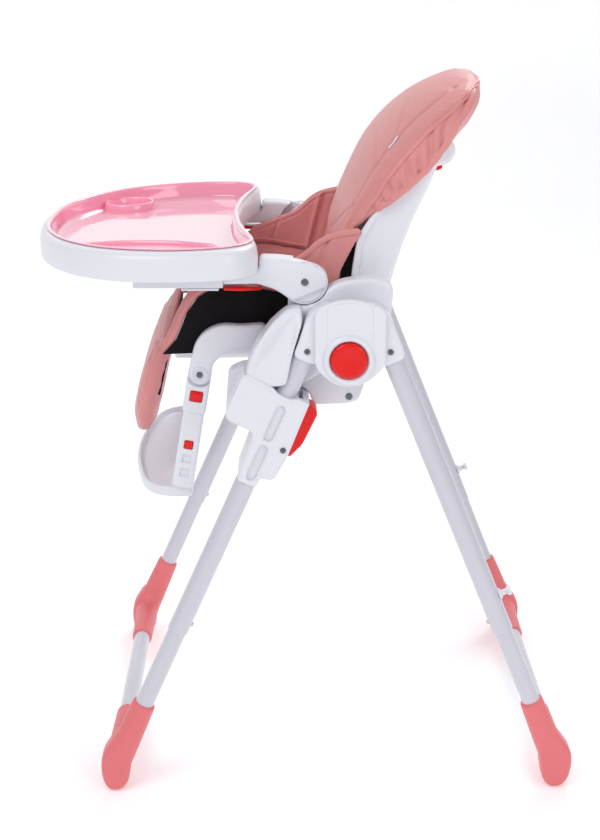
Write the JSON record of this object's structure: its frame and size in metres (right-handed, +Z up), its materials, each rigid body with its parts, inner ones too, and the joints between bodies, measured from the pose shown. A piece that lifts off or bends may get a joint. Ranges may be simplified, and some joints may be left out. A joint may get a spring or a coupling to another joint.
{
  "type": "baby high chair",
  "caption": "Folding baby high chair with padded reclining seat, height sliders on A-frame legs, lift-up arms, sliding tray with insert, and swinging footrest.",
  "frame": {"origin": "floor level, centre of the whole chair's bounding box at rest", "axes": "+Z up, +X to the chair's left, -Y to the front where the tray is"},
  "size_m": [0.6126, 0.8008, 1.046],
  "materials": {
    "white_plastic": "moulded, semi-gloss",
    "white_tube": "powder-coated steel tube",
    "steel": "plated screw",
    "foot_pink": "soft plastic",
    "tray_pink": "translucent gloss",
    "red_plastic": "moulded, gloss",
    "leatherette": "smooth coated fabric over foam"
  },
  "bodies": {
    "front_frame": {"front_leg_tube_left": "white_tube", "front_leg_tube_right": "white_tube", "front_base_tube": "white_tube", "front_foot_left": "foot_pink", "front_foot_right": "foot_pink", "front_hub_housing_left": "white_plastic", "front_hub_housing_right": "white_plastic", "hub_cap_left": "white_plastic", "hub_cap_right": "white_plastic", "hub_axle_left": "steel", "hub_axle_right": "steel"},
    "rear_legs": {"rear_leg_tube_left": "white_tube", "rear_leg_tube_right": "white_tube", "rear_base_tube": "white_tube", "rear_foot_left": "foot_pink", "rear_foot_right": "foot_pink", "rear_hub_housing_left": "white_plastic", "rear_hub_housing_right": "white_plastic", "tray_hook_left": "white_plastic", "tray_hook_right": "white_plastic"},
    "fold_button_left": {"fold_button_left": "red_plastic"},
    "fold_button_right": {"fold_button_right": "red_plastic"},
    "seat": {"height_slider_left": "white_plastic", "height_slider_right": "white_plastic", "seat_side_frame_left": "white_plastic", "seat_side_frame_right": "white_plastic", "seat_pan": "white_plastic", "seat_pad": "leatherette", "footrest_arm_left": "white_plastic", "footrest_arm_right": "white_plastic"},
    "height_lever_left": {"height_lever_left": "red_plastic"},
    "height_lever_right": {"height_lever_right": "red_plastic"},
    "calf_flap": {"calf_flap_pad": "leatherette"},
    "backrest": {"back_shell": "white_plastic", "back_pad": "leatherette", "recline_housing": "white_plastic", "recline_pivot_screw_left": "steel", "recline_pivot_screw_right": "steel"},
    "recline_lever": {"recline_lever": "red_plastic"},
    "armrests": {"armrest_left": "white_plastic", "armrest_right": "white_plastic", "arm_pivot_screw_left": "steel", "arm_pivot_screw_right": "steel"},
    "tray": {"tray_body": "white_plastic", "tray_rail_left": "white_plastic", "tray_rail_right": "white_plastic"},
    "insert_tray": {"tray_insert": "tray_pink"},
    "tray_lever_left": {"tray_release_lever_left": "red_plastic"},
    "tray_lever_right": {"tray_release_lever_right": "red_plastic"},
    "footrest": {"footrest_leg_left": "white_plastic", "footrest_leg_right": "white_plastic", "footrest_pivot_screw_left": "steel", "footrest_pivot_screw_right": "steel"},
    "footrest_button_left": {"footrest_angle_button_left": "red_plastic"},
    "footrest_button_right": {"footrest_angle_button_right": "red_plastic"},
    "footplate": {"footplate": "white_plastic"},
    "footplate_button_left": {"footplate_button_left": "red_plastic"},
    "footplate_button_right": {"footplate_button_right": "red_plastic"}
  },
  "joints": [
    {"name": "leg_fold", "type": "hinge", "parent": "front_frame", "child": "rear_legs", "pos_m": [0, 0.057, 0.682], "axis": [-1, 0, 0], "range_deg": [0, 45]},
    {"name": "fold_button_left_press", "type": "slide", "parent": "front_frame", "child": "fold_button_left", "axis": [-1, 0, 0], "range_m": [0, 0.0055], "stiffness_N_per_m": 600},
    {"name": "fold_button_right_press", "type": "slide", "parent": "front_frame", "child": "fold_button_right", "axis": [1, 0, 0], "range_m": [0, 0.0055], "stiffness_N_per_m": 600},
    {"name": "seat_height", "type": "slide", "parent": "front_frame", "child": "seat", "axis": [0, -0.4035, -0.915], "range_m": [0, 0.18]},
    {"name": "height_lever_left_squeeze", "type": "hinge", "parent": "seat", "child": "height_lever_left", "pos_m": [0.249, -0.027, 0.541], "axis": [1, 0, 0], "range_deg": [0, 6], "stiffness_Nm_per_rad": 2},
    {"name": "height_lever_right_squeeze", "type": "hinge", "parent": "seat", "child": "height_lever_right", "pos_m": [-0.249, -0.027, 0.541], "axis": [1, 0, 0], "range_deg": [0, 6], "stiffness_Nm_per_rad": 2},
    {"name": "back_recline", "type": "hinge", "parent": "seat", "child": "backrest", "pos_m": [0, 0.061, 0.609], "axis": [-1, 0, 0], "range_deg": [0, 35]},
    {"name": "recline_lever_pull", "type": "hinge", "parent": "backrest", "child": "recline_lever", "pos_m": [0, 0.185, 0.911], "axis": [1, 0, 0], "range_deg": [0, 5], "stiffness_Nm_per_rad": 2},
    {"name": "arm_lift", "type": "hinge", "parent": "seat", "child": "armrests", "pos_m": [0, -0.003, 0.781], "axis": [-1, 0, 0], "range_deg": [0, 70]},
    {"name": "tray_slide", "type": "slide", "parent": "armrests", "child": "tray", "axis": [0, -0.9996, -0.0279], "range_m": [0, 0.06]},
    {"name": "insert_lift", "type": "slide", "parent": "tray", "child": "insert_tray", "axis": [0, -0.0279, 0.9996], "range_m": [0, 0.06]},
    {"name": "tray_lever_left_squeeze", "type": "hinge", "parent": "tray", "child": "tray_lever_left", "pos_m": [0.225, -0.115, 0.77], "axis": [1, 0, 0], "range_deg": [0, 4], "stiffness_Nm_per_rad": 1},
    {"name": "tray_lever_right_squeeze", "type": "hinge", "parent": "tray", "child": "tray_lever_right", "pos_m": [-0.225, -0.115, 0.77], "axis": [1, 0, 0], "range_deg": [0, 4], "stiffness_Nm_per_rad": 1},
    {"name": "footrest_swing", "type": "hinge", "parent": "seat", "child": "footrest", "pos_m": [0, -0.153, 0.637], "axis": [-1, 0, 0], "range_deg": [0, 55]},
    {"name": "calf_flap_swing", "type": "hinge", "parent": "seat", "child": "calf_flap", "pos_m": [0, -0.2, 0.68], "axis": [-1, 0, 0], "range_deg": [0, 62]},
    {"name": "footrest_button_left_press", "type": "slide", "parent": "footrest", "child": "footrest_button_left", "axis": [-1, 0, 0], "range_m": [0, 0.002], "stiffness_N_per_m": 600},
    {"name": "footrest_button_right_press", "type": "slide", "parent": "footrest", "child": "footrest_button_right", "axis": [1, 0, 0], "range_m": [0, 0.002], "stiffness_N_per_m": 600},
    {"name": "footplate_height", "type": "slide", "parent": "footrest", "child": "footplate", "axis": [0, -0.1701, -0.9854], "range_m": [0, 0.044]},
    {"name": "footplate_button_left_press", "type": "slide", "parent": "footplate", "child": "footplate_button_left", "axis": [-1, 0, 0], "range_m": [0, 0.003], "stiffness_N_per_m": 600},
    {"name": "footplate_button_right_press", "type": "slide", "parent": "footplate", "child": "footplate_button_right", "axis": [1, 0, 0], "range_m": [0, 0.003], "stiffness_N_per_m": 600}
  ],
  "couplings": [
    {"joint": "calf_flap_swing", "follows": "footrest_swing", "ratio": 1.1}
  ]
}
